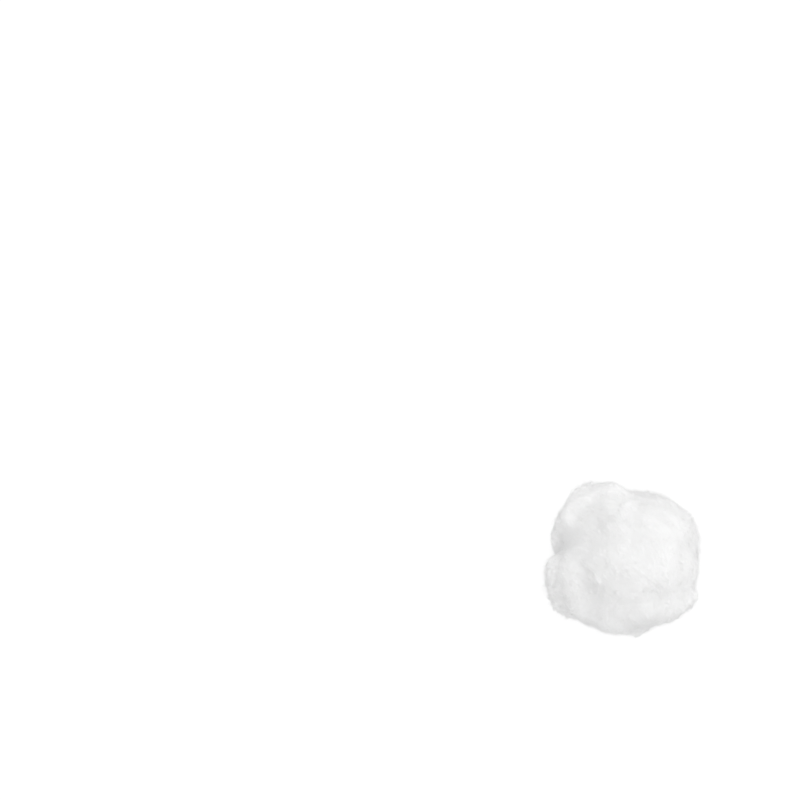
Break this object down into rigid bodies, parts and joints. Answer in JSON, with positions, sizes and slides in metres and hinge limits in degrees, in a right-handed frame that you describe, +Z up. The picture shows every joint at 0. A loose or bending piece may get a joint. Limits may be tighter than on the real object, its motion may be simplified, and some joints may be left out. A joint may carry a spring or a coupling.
{
  "type": "cotton ball",
  "caption": "Loose jumbo cotton ball: a soft irregular wad of white cotton fibre with folded lobes and a small torn-off tail, lying on a small flat spot.",
  "frame": {"origin": "on the surface that the ball lies on, under the middle of its box", "axes": "+Z up from the flat spot; seen from above as in the picture, +X is to the right and +Y is up the page"},
  "size_m": [0.0496, 0.0498, 0.0426],
  "materials": {
    "cotton": "matt loose white cotton fibre, fuzzy all over"
  },
  "bodies": {
    "root": {"cotton_ball": "cotton"}
  },
  "joints": []
}
